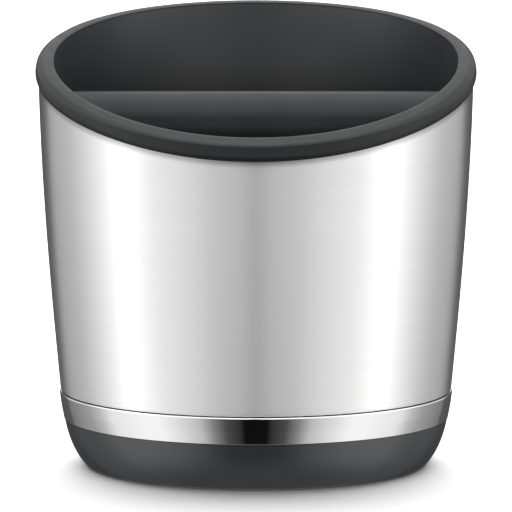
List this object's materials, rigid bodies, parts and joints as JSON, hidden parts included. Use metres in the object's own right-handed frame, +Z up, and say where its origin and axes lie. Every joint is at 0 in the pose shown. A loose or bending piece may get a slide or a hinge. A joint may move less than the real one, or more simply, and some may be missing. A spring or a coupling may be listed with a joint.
{
  "type": "espresso knock box",
  "caption": "Round knock box for spent coffee: sloping soft rim, brushed steel sleeve over a moulded bin, polished band, rubber foot and a lift-out padded knock bar across the mouth.",
  "frame": {"origin": "on the body's axis, at the table", "axes": "+Z up along the body's axis, +X to the right along the knock bar, -Y to the low front of the rim"},
  "size_m": [0.1352, 0.1347, 0.1397],
  "materials": {
    "brushed_steel": "brushed round the body",
    "polished_steel": "mirror polished",
    "bin_plastic": "satin moulded",
    "soft_rim": "soft matte",
    "boot_rubber": "matte",
    "grip_rubber": "matte",
    "pad_rubber": "matte",
    "chassis_plastic": "moulded",
    "end_nylon": "moulded",
    "screw_steel": "bright zinc"
  },
  "bodies": {
    "housing": {"outer_sleeve": "brushed_steel", "inner_bin": "bin_plastic", "rim_ring": "soft_rim", "trim_band": "polished_steel", "base_boot": "boot_rubber", "base_chassis": "chassis_plastic", "sleeve_gasket": "pad_rubber", "base_screw_1": "screw_steel", "base_screw_2": "screw_steel", "base_screw_3": "screw_steel", "base_screw_4": "screw_steel", "cradle_pad_left": "pad_rubber", "cradle_pad_right": "pad_rubber"},
    "knock_bar": {"bar_core": "screw_steel", "bar_grip": "grip_rubber", "bar_end_left": "end_nylon", "bar_end_right": "end_nylon", "bar_screw_left": "screw_steel", "bar_screw_right": "screw_steel"}
  },
  "joints": [
    {"name": "bar_lift", "type": "slide", "parent": "housing", "child": "knock_bar", "axis": [0, 0, 1], "range_m": [0, 0.06]}
  ]
}
